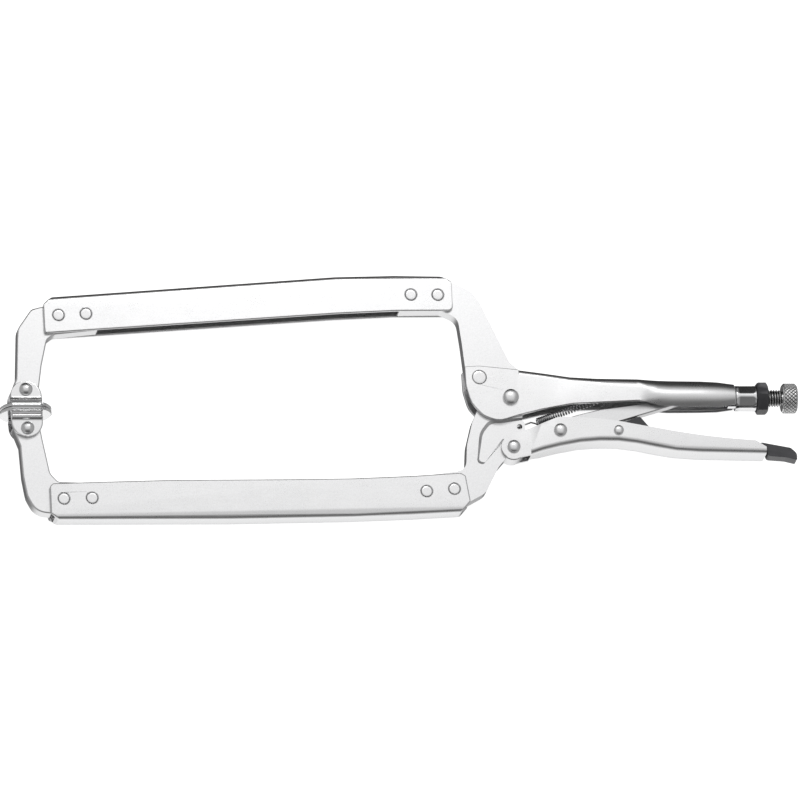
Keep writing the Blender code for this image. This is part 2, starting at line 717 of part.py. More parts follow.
def screw():
    """The adjusting screw's shank, and its knurled knob on a turned-down end."""
    neck_r = KNOB_BORE_R - FACE_GAP
    neck_x = KNOB_X - FACE_GAP
    profile = [
        (SCREW_TIP_X, THREAD_R - 1.2),
        (SCREW_TIP_X + 1.0, THREAD_R),
        (neck_x, THREAD_R),
        (neck_x, neck_r),
        (KNOB_X + KNOB_BORE_DEPTH - FACE_GAP, neck_r),
    ]
    add_solid("screw_shank", turned_x(profile), STEEL, (SCREW_TIP_X, SCREW_Y))
    end_x = KNOB_X + KNOB_LENGTH
    knob = [
        (KNOB_X, KNOB_R - KNOB_CHAMFER),
        (KNOB_X + KNOB_CHAMFER, KNOB_R),
        (end_x - KNOB_CHAMFER, KNOB_R),
        (end_x, KNOB_R - KNOB_CHAMFER),
    ]
    solid = add_solid("knurled_knob", turned_x(knob), STEEL, (KNOB_X, SCREW_Y))
    bore = turned_x([(KNOB_X - 5, KNOB_BORE_R), (KNOB_X + KNOB_BORE_DEPTH, KNOB_BORE_R)])
    boolean(solid, bore, "DIFFERENCE", "bore")


# ---------------------------------------------------------------- lever side


def lever_handle():
    """The lever: two ears on the moving plate, joggled out to a channel that opens to the handle."""
    below = -48.0
    stations = [
        (-8.0, below, LEVER_EAR_TOP, ARM_HALF, BEND, 0.0, SHEET),
        (LEVER_WEB_X - 0.2, below, LEVER_EAR_TOP, ARM_HALF, BEND, 0.0, SHEET),
    ]
    for x in (LEVER_WEB_X, *JOGGLE_X, 18, 27, 39, 50, 61, 72, 83, 94, 108, 123, 140, LEVER_END_X):
        half = LEVER_HALF if x >= JOGGLE_X[1] else ARM_HALF
        edge_y = read_line(LEVER_EDGE, x) if x > LEVER_TRIM_X else LEVER_EAR_TOP
        stations.append((x, read_line(LEVER_WEB, x), edge_y, half, BEND, 0.0, SHEET))
    solid = add_solid("lever_handle", channel(stations), STEEL, LEVER_PIVOT)
    web_y = read_line(LEVER_WEB, LEVER_WEB_X)
    trim = [
        *arc(LEVER_PIVOT, LEVER_EAR_R, 105, 300, 18),
        (LEVER_WEB_X + 0.1, web_y - 0.5),
        (LEVER_WEB_X + 0.1, -60.0),
        (LEVER_END_X + 5, -60.0),
        (LEVER_END_X + 5, 10.0),
        (LEVER_TRIM_X, 10.0),
        (LEVER_TRIM_X, read_line(LEVER_EDGE, LEVER_TRIM_X)),
        (16.2, -16.5),
    ]
    boolean(solid, prism(trim, -2 * LEVER_HALF, 2 * LEVER_HALF), "INTERSECT", "outline")
    drill(solid, LEVER_PIVOT, LEVER_RIVET_R, "lever_pivot_hole")
    drill(solid, LINK_PIVOT, LEVER_RIVET_R, "link_pivot_hole")
    drill(solid, RELEASE_PIVOT, RELEASE_RIVET_R, "release_pivot_hole")


def toggle_link():
    """The strut from the lever to the adjusting screw's tip."""
    x0, y0 = LINK_PIVOT
    x1, y1 = LINK_END_X, SCREW_Y
    slope = math.degrees(math.atan2(y1 - y0, x1 - x0))
    tip = (x1 - LINK_TIP_R, y1 - LINK_TIP_R * math.tan(math.radians(slope)))
    waist = math.degrees(math.asin(LINK_WAIST / LINK_EYE_R))
    outline = [
        *arc(LINK_PIVOT, LINK_EYE_R, LINK_BACK_ANGLE, slope + 360 - waist, 18),
        *arc(tip, LINK_TIP_R, slope - 90, slope + 90, 8),
        *reversed(LINK_BACK),
    ]
    solid = add_solid("toggle_link", plate(outline, LINK_THICK), STEEL, LINK_PIVOT)
    drill(solid, LINK_PIVOT, LEVER_RIVET_R, "pivot_hole")


def release_lever():
    """The trigger in the lever: a hump under the link and a long shank to the paddle behind."""
    x0, y0 = RELEASE_PIVOT
    outline = rounded(
        [
            (x0 - 3.9, y0 - 3.6, 3),
            (x0 + 6.0, y0 - 4.2, 2),
            (96.0, -28.6, 6),
            (LEVER_END_X - 14, -30.6, 4),
            (LEVER_END_X + 1.0, -30.8, 0.5),
            (LEVER_END_X + 1.2, -34.2, 2),
            (157.5, -35.0, 6),
            (164.0, -36.6, 0.6),
            (164.2, -32.6, 4),
            (160.6, -29.3, 3),
            (LEVER_END_X - 1.5, -26.2, 3),
            (LEVER_END_X - 12, -27.6, 4),
            (97.0, -24.6, 6),
            (81.0, -18.6, 2),
            (74.6, -10.7, 0.6),
            (72.8, -11.1, 0.6),
            (x0 - 2.9, y0 + 3.6, 3),
        ]
    )
    solid = add_solid("release_lever", prism(outline, -RELEASE_HALF, RELEASE_HALF), BLACK, RELEASE_PIVOT)
    drill(solid, RELEASE_PIVOT, RELEASE_RIVET_R, "pivot_hole")


def tension_spring():
    """The return spring as its outer shape: a straight coil with a wire leg and hook at each end."""
    start, end = Vector(SPRING_HOOK), Vector(SPRING_ANCHOR)
    along = (end - start).normalized()
    across = Vector((-along.y, along.x))
    length = (end - start).length

    def ring(distance, radius):
        middle = start + along * distance
        points = []
        for side, z in arc((0, 0), radius, 0, 360 - 30, 11):
            spot = middle + across * side
            points.append((spot.x, spot.y, z))
        return points

    rings = [
        ring(4.4, WIRE_R),
        ring(COIL_FRONT - 0.6, WIRE_R),
        ring(COIL_FRONT, COIL_R),
        ring(length - COIL_BACK, COIL_R),
        ring(length - COIL_BACK + 0.6, WIRE_R),
        ring(length - TAB_THICK, WIRE_R),
    ]
    add_solid("tension_spring", loft(rings), STEEL, SPRING_HOOK)


def centre_on_underside():
    """Moves the tool so that the middle of its underside is the origin."""
    bpy.context.view_layer.update()
    graph = bpy.context.evaluated_depsgraph_get()
    corners = []
    for solid in TOOL.children:
        if not solid.hide_render:
            evaluated = solid.evaluated_get(graph)
            corners += [evaluated.matrix_world @ Vector(corner) for corner in evaluated.bound_box]
    low = [min(corner[axis] for corner in corners) for axis in range(3)]
    high = [max(corner[axis] for corner in corners) for axis in range(3)]
    TOOL.location = (-(low[0] + high[0]) / 2, -(low[1] + high[1]) / 2, -low[2])
    bpy.context.view_layer.update()


for leftover in list(bpy.data.objects):
    bpy.data.objects.remove(leftover)
TOOL = bpy.data.objects.new("clamp_frame", None)
bpy.context.scene.collection.objects.link(TOOL)

upper_arm()
lower_arm()
upper_jaw_tip()
lower_jaw_tip()
upper_knuckle()
lower_knuckle()
pad("upper_pad", UPPER_PAD_Y)
pad("lower_pad", LOWER_PAD_Y)
handle_body()
thread_sleeve()
lock_nut()
screw()
lever_handle()
toggle_link()
release_lever()
tension_spring()
flush_rivet("nose_rivet", NOSE_RIVET, NOSE_RIVET_R, NOSE_HALF)
headed_rivet("jaw_pivot_rivet", (0, 0), JAW_RIVET_R, JAW_HEAD, NOSE_HALF)
headed_rivet("lever_pivot_rivet", LEVER_PIVOT, LEVER_RIVET_R, LEVER_HEAD, ARM_HALF)
headed_rivet("link_rivet", LINK_PIVOT, LEVER_RIVET_R, LEVER_HEAD, LEVER_HALF)
headed_rivet("release_rivet", RELEASE_PIVOT, RELEASE_RIVET_R, RELEASE_HEAD, LEVER_HALF)
headed_rivet("upper_pad_rivet", (PAD_X, UPPER_PAD_Y), PAD_RIVET_R, PAD_HEAD, PAD_HALF)
headed_rivet("lower_pad_rivet", (PAD_X, LOWER_PAD_Y), PAD_RIVET_R, PAD_HEAD, PAD_HALF)
centre_on_underside()
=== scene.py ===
import math

import bpy
from mathutils import Matrix, Vector


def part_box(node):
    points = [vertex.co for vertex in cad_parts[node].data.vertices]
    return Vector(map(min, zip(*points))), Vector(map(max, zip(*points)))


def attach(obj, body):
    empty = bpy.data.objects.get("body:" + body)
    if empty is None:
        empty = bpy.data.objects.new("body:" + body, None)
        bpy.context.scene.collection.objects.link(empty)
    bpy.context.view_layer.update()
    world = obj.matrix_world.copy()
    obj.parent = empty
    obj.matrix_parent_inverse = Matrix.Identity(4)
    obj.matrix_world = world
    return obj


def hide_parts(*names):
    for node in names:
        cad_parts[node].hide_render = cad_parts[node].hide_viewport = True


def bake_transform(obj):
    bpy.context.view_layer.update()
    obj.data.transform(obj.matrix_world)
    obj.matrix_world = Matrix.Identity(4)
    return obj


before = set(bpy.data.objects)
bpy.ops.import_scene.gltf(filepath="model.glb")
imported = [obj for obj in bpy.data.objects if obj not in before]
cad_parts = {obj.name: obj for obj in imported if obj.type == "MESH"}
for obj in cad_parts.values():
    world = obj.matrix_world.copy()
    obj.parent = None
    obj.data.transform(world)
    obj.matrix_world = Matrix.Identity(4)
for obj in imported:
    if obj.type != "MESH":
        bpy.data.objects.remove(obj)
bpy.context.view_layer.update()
MM = 0.001


# ---------------------------------------------------------------- room and view
# The clamp lies on its side on a lit opal panel. One broad light stands behind it and a second one
# low in front, with dark screens between them, so every fold shows a bright and a dark band.

BOARD_HALF = 6.0
BOARD_DROP = 0.2 * MM
VIEW_WIDTH = 455.2 * MM
LENS = 1400.0
SENSOR = 36.0
VIEW_REACH = 40.0
LEAN_SIDE, LEAN_DOWN = math.radians(9.5), math.radians(17.9)
PIVOT_FRONT = 8.5 * MM  # the near face of the jaw pivot, over its middle
AIM_RIGHT, AIM_UP = -63.2 * MM, -2.05 * MM  # from there


class Value:
    """A shader socket that takes part in sums."""

    def __init__(self, socket):
        self.socket = socket
        self.shader = Shader(socket.id_data)

    def math(self, operation, *values):
        return self.shader.add("ShaderNodeMath", {"operation": operation}, values)

    def __add__(self, other):
        return self.math("ADD", self, other)

    def __sub__(self, other):
        return self.math("SUBTRACT", self, other)

    def __rsub__(self, other):
        return self.math("SUBTRACT", other, self)

    def __mul__(self, other):
        return self.math("MULTIPLY", self, other)

    __radd__ = __add__
    __rmul__ = __mul__


class Shader:
    """The nodes of one material, or of the room."""

    def __init__(self, tree):
        self.tree = tree

    def add(self, kind, settings=None, values=(), output=0):
        """A node with its settings, then the values or links of its sockets, by name or in order."""
        node = self.tree.nodes.new(kind)
        for name, setting in (settings or {}).items():
            if name == "stops":
                ramp = node.color_ramp.elements
                for at, _ in setting[:-2]:
                    ramp.new(at)
                for element, (at, level) in zip(ramp, setting):
                    element.position = at
                    element.color = (level, level, level, 1.0)
            else:
                setattr(node, name, setting)
        for key, value in values.items() if isinstance(values, dict) else enumerate(values):
            self.feed(node.inputs[key], value)
        return Value(node.outputs[output]) if output is not None else node

    def feed(self, socket, value):
        if isinstance(value, Value):
            self.tree.links.new(value.socket, socket)
        else:
            socket.default_value = value

    def mix(self, share, first, second, blend="MIX"):
        settings = {"data_type": "RGBA", "blend_type": blend}
        return self.add("ShaderNodeMix", settings, {0: share, 6: first, 7: second}, 2)

    def grey(self, level):
        return self.add("ShaderNodeCombineColor", None, (level, level, level))

    def raise_up(self, principled, height, strength, distance):
        """Relief too fine to model, as a bump on the finish."""
        values = {"Strength": strength, "Distance": distance, "Height": height}
        self.feed(principled.inputs["Normal"], self.add("ShaderNodeBump", None, values))


def new_finish(name, **constants):
    """A Principled finish and its nodes. Constants are set on the shader's own sockets."""
    material = bpy.data.materials.new(name)
    material.use_nodes = True
    principled = material.node_tree.nodes["Principled BSDF"]
    for socket, value in constants.items():
        principled.inputs[socket.replace("_", " ")].default_value = value
    return material, Shader(material.node_tree), principled


def link_up(thing):
    bpy.context.scene.collection.objects.link(thing)
    return thing


board_finish, nodes, principled = new_finish("opal_panel", Roughness=0.8, Emission_Strength=1.0)
spot = nodes.add("ShaderNodeTexCoord", output=3)
mottle = nodes.add("ShaderNodeTexNoise", None, {"Vector": spot, "Scale": 3.0, "Detail": 4.0})
nodes.feed(principled.inputs["Base Color"], nodes.grey(0.2 + 0.04 * mottle))
nodes.feed(principled.inputs["Emission Color"], nodes.grey(0.97 + 0.02 * mottle))
sides = ((-1, -1), (1, -1), (1, 1), (-1, 1))
corners = [(x * BOARD_HALF, y * BOARD_HALF, -BOARD_DROP) for x, y in sides]
board_mesh = bpy.data.meshes.new("board")
board_mesh.from_pydata(corners, [], [(0, 1, 2, 3)])
board_mesh.materials.append(board_finish)
panel = link_up(bpy.data.objects.new("board", board_mesh))
panel.visible_glossy = False

room = bpy.data.worlds.new("room")
room.use_nodes = True
nodes = Shader(room.node_tree)
direction = nodes.add("ShaderNodeTexCoord")
sideways, backward, upward = (
    nodes.add("ShaderNodeSeparateXYZ", None, (direction,), output) for output in range(3)
)
# Brightness by degrees from overhead, forward round a circle across the clamp. Towards the clamp's
# two ends it blends into plain dim walls.
ROUND = (
    ((-180, 0.1), (-120, 0.02), (-75, 0.03), (-56, 0.3), (-42, 0.85), (-30, 0.88))
    + ((-8, 0.69), (12, 0.55), (34, 0.2), (50, 0.09), (66, 0.09), (88, 0.28))
    + ((108, 0.65), (140, 1.0), (158, 0.96), (170, 0.7), (180, 0.15))
)
SIDEWAYS = ((0.0, 0.0), (0.36, 0.0), (0.66, 1.0), (1.0, 1.0))
SIDE_LEVEL = 0.33
ROOM_STRENGTH = 1.25
forward = nodes.add("ShaderNodeMath", {"operation": "ARCTAN2"}, (backward * -1.0, upward))
arc = [(0.5 + degrees / 360, level) for degrees, level in ROUND]
around_sky = nodes.add("ShaderNodeValToRGB", {"stops": arc}, (0.5 + forward * (0.5 / math.pi),))
aside = nodes.add("ShaderNodeMath", {"operation": "ABSOLUTE"}, (sideways,))
side_sky = nodes.add("ShaderNodeValToRGB", {"stops": SIDEWAYS}, (aside,))
sky = nodes.mix(side_sky, around_sky, (SIDE_LEVEL, SIDE_LEVEL, SIDE_LEVEL, 1.0))
nodes.feed(room.node_tree.nodes["Background"].inputs["Color"], sky)
room.node_tree.nodes["Background"].inputs["Strength"].default_value = ROOM_STRENGTH
bpy.context.scene.world = room
bpy.context.scene.view_settings.view_transform = "Standard"

overhead = bpy.data.lights.new("board_light", "SUN")
overhead.energy = 2.1
overhead.angle = math.radians(70)
overhead_light = link_up(bpy.data.objects.new("board_light", overhead))
overhead_light.rotation_euler = Vector((-0.3, 0.25, 1.0)).to_track_quat("Z", "Y").to_euler()
overhead_light.visible_glossy = False

key = bpy.data.lights.new("key_softbox", "AREA")
key.shape = "RECTANGLE"
key.size, key.size_y = 0.34, 0.26
key.energy = 1.6
key_light = link_up(bpy.data.objects.new("key_softbox", key))
key_light.location = (0.12, 0.72, 1.1)
key_light.rotation_euler = key_light.location.to_track_quat("Z", "Y").to_euler()


def middle(node):
    low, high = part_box(node)
    return (low + high) / 2


towards = Vector((-math.tan(LEAN_SIDE), -math.tan(LEAN_DOWN), 1.0)).normalized()
right = (Vector((1, 0, 0)) - towards * towards.x).normalized()
up = towards.cross(right)
pivot = middle("jaw_pivot_rivet")
aim = pivot + Vector((0, 0, PIVOT_FRONT)) + right * AIM_RIGHT + up * AIM_UP
lens = bpy.data.cameras.new("view")
lens.lens = LENS
lens.sensor_width = SENSOR
lens.clip_end = VIEW_REACH
camera = link_up(bpy.data.objects.new("view", lens))
facing = Matrix((right, up, towards)).transposed().to_4x4()
camera.matrix_world = Matrix.Translation(aim + towards * (VIEW_WIDTH * LENS / SENSOR)) @ facing
bpy.context.scene.camera = camera


# ---------------------------------------------------------------- handle body
# Pressed from 2.3 mm steel strip: flat walls round the pivots, folded along the top and rolled
# into a tube behind. It is tumbled and then nickel plated, which leaves a satin, grainy face.


def nickel(name, tone, rough, seed, drawn=0.0, satin=1.0):
    """Satin nickel plate. Drawn adds the sheet's own faint lines along X."""
    material, s, principled = new_finish(name, Metallic=1.0)
    spot = s.add("ShaderNodeTexCoord", output=3)
    moved = s.add("ShaderNodeMapping", None, {0: spot, 1: (seed, -seed, seed)})
    along_x = {0: spot, 1: (seed, seed, 0.0), 3: (30.0, 1100.0, 1100.0)}
    stretched = s.add("ShaderNodeMapping", None, along_x)
    cloud = s.add("ShaderNodeTexNoise", None, {"Vector": moved, "Scale": 70.0, "Detail": 4.0})
    grain = s.add("ShaderNodeTexNoise", None, {"Vector": moved, "Scale": 1900.0, "Detail": 2.0})
    lines = s.add("ShaderNodeTexNoise", None, {"Vector": stretched, "Scale": 1.0, "Detail": 2.0})
    pits = s.add("ShaderNodeTexVoronoi", {"feature": "F1"}, {"Vector": moved, "Scale": 620.0})
    level = 0.96 + 0.06 * (cloud - 0.5) + 0.26 * satin * (grain - 0.5) + drawn * 0.12 * (lines - 0.5)
    tint = s.mix(1.0, (*tone, 1.0), s.grey(level), "MULTIPLY")
    s.feed(principled.inputs["Base Color"], tint)
    frosted = rough + satin * (0.08 * (cloud - 0.5) + 0.12 * (grain - 0.5))
    s.feed(principled.inputs["Roughness"], frosted)
    s.raise_up(principled, grain + 0.5 * pits + drawn * lines, 0.2 * satin, 0.04 * MM)
    return material


CREASE = math.radians(30)
FLAT_ANGLE = math.radians(0.6)
JOIN_GAP = 0.01 * MM
EDGE_SEGMENTS = 3
rounded_look = bpy.data.node_groups.new("rounded_look", "GeometryNodeTree")
for way in ("INPUT", "OUTPUT"):
    rounded_look.interface.new_socket("Geometry", in_out=way, socket_type="NodeSocketGeometry")
looks = Shader(rounded_look)
shape = looks.add("NodeGroupInput")
turn = looks.add("GeometryNodeInputMeshEdgeAngle")
crease = looks.add("FunctionNodeCompare", {"operation": "GREATER_THAN"}, (turn, CREASE))
smoothed = {"Geometry": shape, "Shade Smooth": True}
shape = looks.add("GeometryNodeSetShadeSmooth", {"domain": "FACE"}, smoothed)
creased = {"Geometry": shape, "Selection": crease, "Shade Smooth": False}
shape = looks.add("GeometryNodeSetShadeSmooth", {"domain": "EDGE"}, creased)
looks.add("NodeGroupOutput", None, (shape,), None)


def dress(node, finish, edge=0.7, clamp=False):
    """A CAD piece gets its finish, smooth folds and softened edges, whose width is in mm."""
    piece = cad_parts[node]
    piece.data.materials.clear()
    piece.data.materials.append(finish)
    join = piece.modifiers.new("join", "WELD")
    join.merge_threshold = JOIN_GAP
    flats = piece.modifiers.new("flats", "DECIMATE")
    flats.decimate_type = "DISSOLVE"
    flats.angle_limit = FLAT_ANGLE
    piece.modifiers.new("rounded_look", "NODES").node_group = rounded_look
    soften = piece.modifiers.new("soft_edges", "BEVEL")
    soften.width = edge * MM
    soften.segments = EDGE_SEGMENTS
    soften.limit_method = "ANGLE"
    soften.angle_limit = CREASE
    soften.use_clamp_overlap = clamp
    level = piece.modifiers.new("level_faces", "WEIGHTED_NORMAL")
    level.keep_sharp = True
    return piece


NICKEL = "nickel_plated_steel"
HANDLE_NICKEL = nickel("handle_nickel", (0.77, 0.77, 0.775), 0.3, 0.1, drawn=0.3)
dress("handle_body", HANDLE_NICKEL, edge=0.4)


# ---------------------------------------------------------------- thread sleeve
# A turned steel bush, bright plated, pushed into the end of the rolled tube. Six flats are pressed
# into its collar, which locks it and leaves small round shoulders at both ends of the flats.


MADE_CREASE = math.radians(40)


def tube_mesh(name, rings, finish, close=False):
    """A closed surface through rings of equally many points, with its ends capped or joined."""
    count = len(rings[0])
    points = [point for ring in rings for point in ring]
    faces = []
    rows = len(rings) if close else len(rings) - 1
    for row in range(rows):
        low, high = row * count, (row + 1) % len(rings) * count
        for index in range(count):
            after = (index + 1) % count
            faces.append((low + index, low + after, high + after, high + index))
    if not close:
        faces.append(tuple(reversed(range(count))))
        faces.append(tuple(range(len(points) - count, len(points))))
    mesh = bpy.data.meshes.new(name)
    mesh.from_pydata(points, [], faces)
    mesh.materials.append(finish)
    mesh.shade_smooth()
    mesh.set_sharp_from_angle(angle=MADE_CREASE)
    return mesh


def place(name, mesh, body, slot, *replaced):
    """A made piece takes the place of its CAD nodes and moves with their body."""
    piece = link_up(bpy.data.objects.new(name, mesh))
    if body:
        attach(piece, body)
    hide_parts(*replaced)
    return piece


def chrome(name, tone, rough):
    """Bright plate with faint turning marks and handling haze."""
    material, s, principled = new_finish(name, Metallic=1.0)
    spot = s.add("ShaderNodeTexCoord", output=3)
    rings = s.add("ShaderNodeMapping", None, {0: spot, 3: (2600.0, 20.0, 20.0)})
    marks = s.add("ShaderNodeTexNoise", None, {"Vector": rings, "Scale": 1.0, "Detail": 2.0})
    haze = s.add("ShaderNodeTexNoise", None, {"Vector": spot, "Scale": 160.0, "Detail": 3.0})
    level = 0.92 + 0.16 * (haze - 0.5) + 0.1 * (marks - 0.5)
    tint = s.mix(1.0, (*tone, 1.0), s.grey(level), "MULTIPLY")
    s.feed(principled.inputs["Base Color"], tint)
    s.feed(principled.inputs["Roughness"], rough + 0.12 * (haze - 0.5))
    s.raise_up(principled, marks, 0.12, 0.02 * MM)
    return material


BRIGHT = chrome("sleeve_bright", (0.8, 0.8, 0.81), 0.14)
FLAT_SHARE = 0.915  # the flats' distance from the axis, over the collar's radius
SHOULDER = 1.7 * MM
BORE_GAP = 0.2 * MM
SPIGOT_R = 5.8 * MM
COLLAR_GAP = 0.3 * MM
SLEEVE_STEPS = 96
COLLAR_ROWS = 24
COLLAR_EDGE = 0.5 * MM
COLLAR_SOFT = 0.15 * MM
axis_y, axis_z = middle("screw_shank").y, middle("screw_shank").z
shank_r = (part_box("screw_shank")[1].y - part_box("screw_shank")[0].y) / 2


def around(x, radius, count, shape=None):
    """A ring of points about the screw's axis. Shape gives the share of the radius at an angle."""
    ring = []
    for step in range(count):
        angle = 2 * math.pi * step / count
        reach = radius * (shape(angle) if shape else 1.0)
        ring.append((x, axis_y + reach * math.cos(angle), axis_z + reach * math.sin(angle)))
    return ring


def crimp(depth):
    """A circle with six flats pressed in by a share of their full depth."""
    flat = 1 - (1 - FLAT_SHARE) * depth

    def share(angle):
        off = (angle + math.pi / 6) % (math.pi / 3) - math.pi / 6
        return min(1.0, flat / math.cos(off))

    return share


sleeve_low, sleeve_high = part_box("thread_sleeve")
sleeve_r = (sleeve_high.y - sleeve_low.y) / 2
collar_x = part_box("handle_body")[1].x + COLLAR_GAP
bore_r = shank_r + BORE_GAP
end_x = sleeve_high.x
corner = sleeve_r - COLLAR_EDGE
shoulder = sleeve_r - COLLAR_SOFT
rings = [around(sleeve_low.x, bore_r, SLEEVE_STEPS), around(sleeve_low.x, SPIGOT_R, SLEEVE_STEPS)]
rings += [around(collar_x, SPIGOT_R, SLEEVE_STEPS), around(collar_x, corner, SLEEVE_STEPS)]
rings.append(around(collar_x + COLLAR_SOFT, shoulder, SLEEVE_STEPS))
for step in range(COLLAR_ROWS + 1):
    x = collar_x + COLLAR_EDGE + (end_x - collar_x - 2 * COLLAR_EDGE) * step / COLLAR_ROWS
    inset = min(x - collar_x, end_x - x) / SHOULDER
    pressed = crimp(min(1.0, max(0.0, inset - 0.4)) ** 0.5)
    rings.append(around(x, sleeve_r, SLEEVE_STEPS, pressed))
rings.append(around(end_x - COLLAR_SOFT, shoulder, SLEEVE_STEPS))
rings += [around(end_x, corner, SLEEVE_STEPS), around(end_x, bore_r, SLEEVE_STEPS)]
sleeve = tube_mesh("crimped_sleeve", rings, BRIGHT, close=True)
place("crimped_sleeve", sleeve, "handle", "bright_steel", "thread_sleeve")


# ---------------------------------------------------------------- lock nut
# A hexagon nut, chamfered on both ends and chemically blacked. It is spun against the sleeve to
# hold the setting, so its corners are rubbed a little lighter.


def blacked(name, rough, seed):
    """Oiled black oxide: near black, mottled, with a soft sheen."""
    material, s, principled = new_finish(name, Metallic=0.2, Specular_IOR_Level=0.3)
    spot = s.add("ShaderNodeTexCoord", output=3)
    moved = s.add("ShaderNodeMapping", None, {0: spot, 1: (seed, seed, seed)})
    cloud = s.add("ShaderNodeTexNoise", None, {"Vector": moved, "Scale": 180.0, "Detail": 5.0})
    grain = s.add("ShaderNodeTexNoise", None, {"Vector": moved, "Scale": 2200.0, "Detail": 2.0})
    edge = s.add("ShaderNodeNewGeometry", output=7)
    worn = s.add("ShaderNodeValToRGB", {"stops": ((0.5, 0.0), (0.62, 1.0))}, (edge,))
    dark = s.mix(cloud, (0.012, 0.012, 0.014, 1.0), (0.032, 0.032, 0.035, 1.0))
    s.feed(principled.inputs["Base Color"], s.mix(worn, dark, (0.1, 0.1, 0.105, 1.0)))
    s.feed(principled.inputs["Roughness"], rough + 0.2 * (cloud - 0.5) + 0.1 * (grain - 0.5))
    s.raise_up(principled, grain + cloud, 0.25, 0.04 * MM)
    return material


NUT_BLACK = blacked("nut_black", 0.42, 0.2)
dress("lock_nut", NUT_BLACK, edge=0.45, clamp=True)


# ---------------------------------------------------------------- adjusting screw
# A steel M10 screw with a coarse 1.5 mm rolled thread. Its far tip carries the toggle link, and
# turning it sets how far the jaws open and how hard they grip.

PITCH = 1.5 * MM
THREAD_DEPTH = 0.9 * MM
STEPS_A_TURN = 10
SCREW_STEPS = 48
NECK_R = 3.7 * MM
TIP_CHAMFER = 1.6 * MM
TIP_LENGTH = 0.3 * MM
CREST_FLAT, FLANK = 0.1, 0.75  # shares of half a pitch


def grooved(name, tone, root, crest):
    """Bright nickel on the crests of a cut surface, with dark oil and painted shade between its root
    and crest radius.
    """
    material, s, principled = new_finish(name, Metallic=1.0)
    spot = s.add("ShaderNodeTexCoord", output=3)
    off = s.add("ShaderNodeVectorMath", {"operation": "SUBTRACT"}, (spot, (0.0, axis_y, axis_z)))
    flat = s.add("ShaderNodeVectorMath", {"operation": "MULTIPLY"}, (off, (0.0, 1.0, 1.0)))
    radius = s.add("ShaderNodeVectorMath", {"operation": "LENGTH"}, (flat,), 1)
    depth = crest - root
    stops = ((0.0, 1.0), (0.2, 1.0), (0.25, 0.0), (0.3, 0.0), (0.62, 1.0))
    # The ramp holds the root radius at 0.25 and the crest at 0.75. A bore is below both.
    share = radius * (0.5 / depth) + (0.25 - 0.5 * root / depth)
    crest_clear_of_oil_and_shade = s.add("ShaderNodeValToRGB", {"stops": stops}, (share,))
    grime = s.add("ShaderNodeTexNoise", None, {"Vector": spot, "Scale": 900.0, "Detail": 3.0})
    # The near black in the grooves is real oil and painted shade together. The crests stay bright.
    tint = s.mix(crest_clear_of_oil_and_shade, (0.07, 0.07, 0.07, 1.0), (*tone, 1.0))
    dusty_with_groove_oil_and_shade = s.mix(1.0, tint, s.grey(0.95 + 0.2 * (grime - 0.5)), "MULTIPLY")
    s.feed(principled.inputs["Base Color"], dusty_with_groove_oil_and_shade)
    s.feed(principled.inputs["Roughness"], 0.16 + 0.14 * grime)
    return material


SCREW_NICKEL = grooved("screw_nickel", (0.86, 0.86, 0.86), shank_r - THREAD_DEPTH, shank_r)
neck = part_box("knurled_knob")[0].x - 0.3 * MM
tip_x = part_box("screw_shank")[0].x


def thread_share(x):
    """The radius share round the screw at x, for a thread with small flats on root and crest."""
    ends = min(1.0, (x - tip_x) / PITCH, (neck - x) / PITCH)

    def share(angle):
        phase = ((x / PITCH - angle / (2 * math.pi)) % 1.0) * 2 - 1
        cut = min(1.0, max(0.0, (abs(phase) - CREST_FLAT) / FLANK))
        return 1 - THREAD_DEPTH / shank_r * (cut if ends >= 1 else 1 - (1 - cut) * max(ends, 0.0))

    return share


rings = [around(tip_x, shank_r - TIP_CHAMFER, SCREW_STEPS)]
turns = round((neck - tip_x) / PITCH * STEPS_A_TURN)
for step in range(turns + 1):
    x = tip_x + TIP_LENGTH + (neck - tip_x - TIP_LENGTH) * step / turns
    rings.append(around(x, shank_r, SCREW_STEPS, thread_share(x)))
shank_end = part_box("screw_shank")[1].x
rings += [around(x, NECK_R, SCREW_STEPS) for x in (neck, shank_end)]
shank = tube_mesh("threaded_shank", rings, SCREW_NICKEL)
place("threaded_shank", shank, "screw", NICKEL, "screw_shank")


# ---------------------------------------------------------------- knurled knob
# The screw's head is turned from the same bar. A pair of wheels rolls crossed grooves into it,
# which leaves rows of small diamonds between a plain chamfer at each end.

KNURLS = 24
KNURL_DEPTH = 0.6 * MM
KNOB_STEPS = 336
KNOB_CHAMFER = 1.0 * MM
KNOB_BORE_R = 4.0 * MM
KNURL_ROWS = 56
knob_low, knob_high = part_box("knurled_knob")
knob_r = (knob_high.y - knob_low.y) / 2
knurl_pitch = 2 * math.pi * knob_r / KNURLS
KNOB_NICKEL = grooved("knob_nickel", (0.97, 0.97, 0.97), knob_r - KNURL_DEPTH, knob_r)


def knurl(x):
    """The radius share round the knob at x, with the two crossing sets of grooves."""

    def groove(phase):
        return min(1.0, abs((phase % 1.0) * 2 - 1) * 2.0)

    def share(angle):
        turn = angle / (2 * math.pi) * KNURLS
        along = (x - knob_low.x) / knurl_pitch
        crest = min(groove(turn + along), groove(turn - along))
        return 1 - KNURL_DEPTH / knob_r * (1 - crest)

    return share


first, last = knob_low.x + KNOB_CHAMFER, knob_high.x - KNOB_CHAMFER
face_r = knob_r - KNOB_CHAMFER
profile = [(knob_low.x, KNOB_BORE_R), (knob_low.x, knob_r - 1.1 * MM), (knob_low.x + 0.15 * MM, face_r)]
rings = [around(x, radius, KNOB_STEPS) for x, radius in profile]
for step in range(KNURL_ROWS + 1):
    x = first + (last - first) * step / KNURL_ROWS
    rings.append(around(x, knob_r, KNOB_STEPS, knurl(x)))
